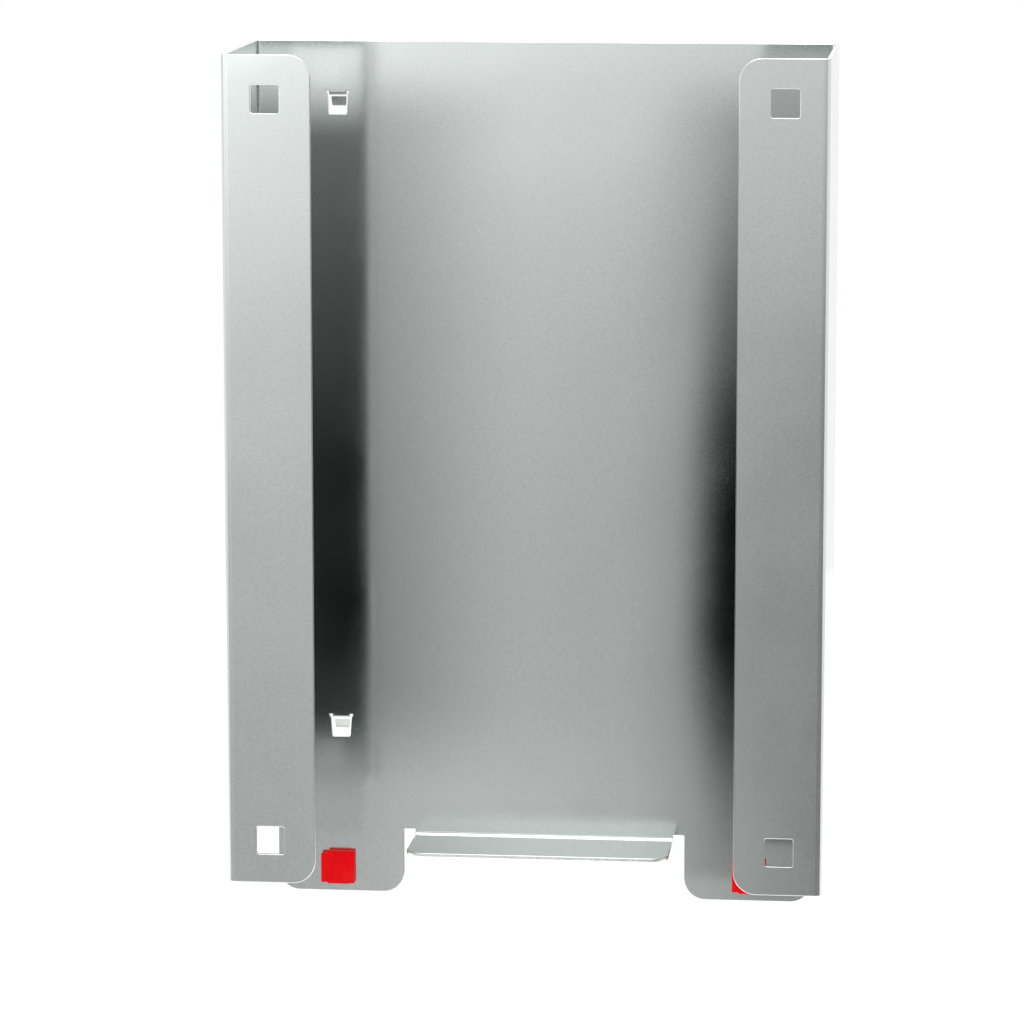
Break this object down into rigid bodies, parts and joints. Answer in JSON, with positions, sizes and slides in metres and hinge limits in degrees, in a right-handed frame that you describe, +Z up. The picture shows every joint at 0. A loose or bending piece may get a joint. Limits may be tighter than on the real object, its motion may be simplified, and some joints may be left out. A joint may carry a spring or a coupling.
{
  "type": "dispenser box holder",
  "caption": "Folded sheet-metal holder for a dispenser box, open at the top and front, with rear lugs for a tool panel, a folded shelf and plastic locking clips.",
  "frame": {"origin": "midway between the four rear lugs, on the rear face of the back panel, where the tool panel lies", "axes": "+Z up, +Y to the rear into the tool panel, so the open front faces -Y, and +X to the right seen from the front"},
  "size_m": [0.2094, 0.0805, 0.3123],
  "materials": {
    "sheet_steel": "satin, bright zinc-plated or stainless",
    "clip_plastic": "glossy moulded red"
  },
  "bodies": {
    "holder": {"folded_sheet": "sheet_steel"},
    "left_clip": {"clip_left": "clip_plastic"},
    "right_clip": {"clip_right": "clip_plastic"}
  },
  "joints": [
    {"name": "left_clip_pull", "type": "slide", "parent": "holder", "child": "left_clip", "axis": [0, -1, 0], "range_m": [0, 0.005]},
    {"name": "right_clip_pull", "type": "slide", "parent": "holder", "child": "right_clip", "axis": [0, -1, 0], "range_m": [0, 0.005]}
  ]
}
